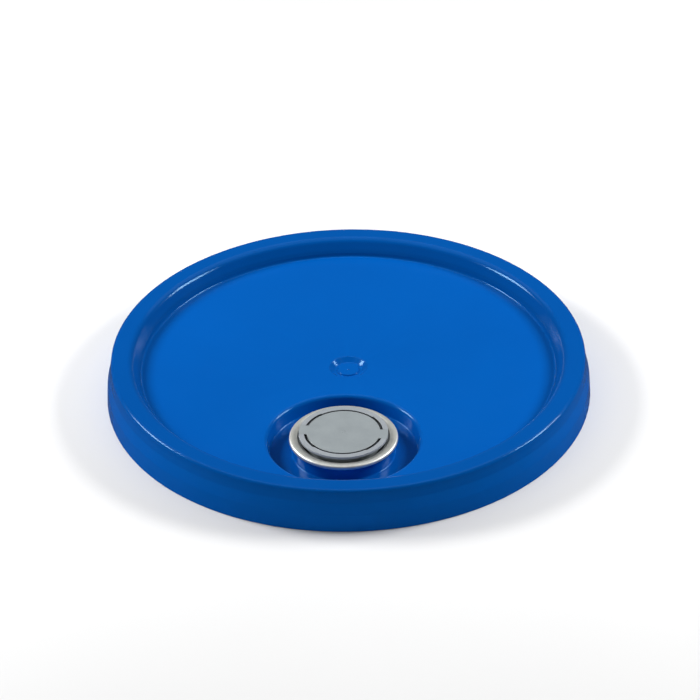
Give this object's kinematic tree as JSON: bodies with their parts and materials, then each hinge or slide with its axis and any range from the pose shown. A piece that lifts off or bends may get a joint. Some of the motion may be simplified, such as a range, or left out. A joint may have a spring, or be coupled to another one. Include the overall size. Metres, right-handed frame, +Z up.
{
  "type": "pail lid with pour spout",
  "caption": "Round press-fit pail lid with a hollow rim and a crimped, nested pull-up pour spout under a screw cap with fold-up bail handles.",
  "frame": {"origin": "centre of the skirt's lower edge, on the surface that the lid stands on", "axes": "+Z up along the lid's axis; the pour spout lies towards -Y"},
  "size_m": [0.3118, 0.3118, 0.0285],
  "materials": {
    "lid_plastic": "glossy blue moulded polyethylene",
    "gasket_rubber": "dull black moulded ring",
    "ring_steel": "bright rolled tinplate",
    "spout_plastic": "soft satin grey polyethylene",
    "cap_plastic": "satin grey moulded polyethylene",
    "liner_foam": "white closed-cell foam"
  },
  "bodies": {
    "lid": {"lid_shell": "lid_plastic", "rim_gasket": "gasket_rubber", "crimp_ring": "ring_steel", "spout_flange": "spout_plastic", "spout_fold": "spout_plastic"},
    "neck": {"spout_neck": "spout_plastic", "tear_membrane": "spout_plastic"},
    "pull_ring": {"membrane_pull_ring": "spout_plastic"},
    "cap_seal": {"cap_liner": "liner_foam"},
    "cap": {"screw_cap": "cap_plastic"},
    "rear_bail": {"bail_rear": "cap_plastic"},
    "front_bail": {"bail_front": "cap_plastic"}
  },
  "joints": [
    {"name": "spout_extend", "type": "slide", "parent": "lid", "child": "neck", "axis": [0, 0, 1], "range_m": [0, 0.029], "deforming": ["spout_fold"]},
    {"name": "cap_lift", "type": "slide", "parent": "neck", "child": "cap_seal", "axis": [0, 0, 1], "range_m": [0, 0.005]},
    {"name": "cap_unscrew", "type": "hinge", "parent": "cap_seal", "child": "cap", "pos_m": [0, -0.081, 0.0203], "axis": [0, 0, 1], "range_deg": [0, 450]},
    {"name": "bail_rear_lift", "type": "hinge", "parent": "cap", "child": "rear_bail", "pos_m": [0.00042, -0.07587, 0.0231], "axis": [0.9966, -0.0819, 0], "range_deg": [0, 90]},
    {"name": "bail_front_lift", "type": "hinge", "parent": "cap", "child": "front_bail", "pos_m": [-0.00042, -0.08613, 0.0231], "axis": [-0.9966, 0.0819, 0], "range_deg": [0, 90]},
    {"name": "pull_ring_lift", "type": "hinge", "parent": "neck", "child": "pull_ring", "pos_m": [0, -0.0694, 0.0072], "axis": [-1, 0, 0], "range_deg": [0, 35]}
  ],
  "couplings": [
    {"joint": "cap_lift", "follows": "cap_unscrew", "m_per_rad": 0.00063661}
  ]
}
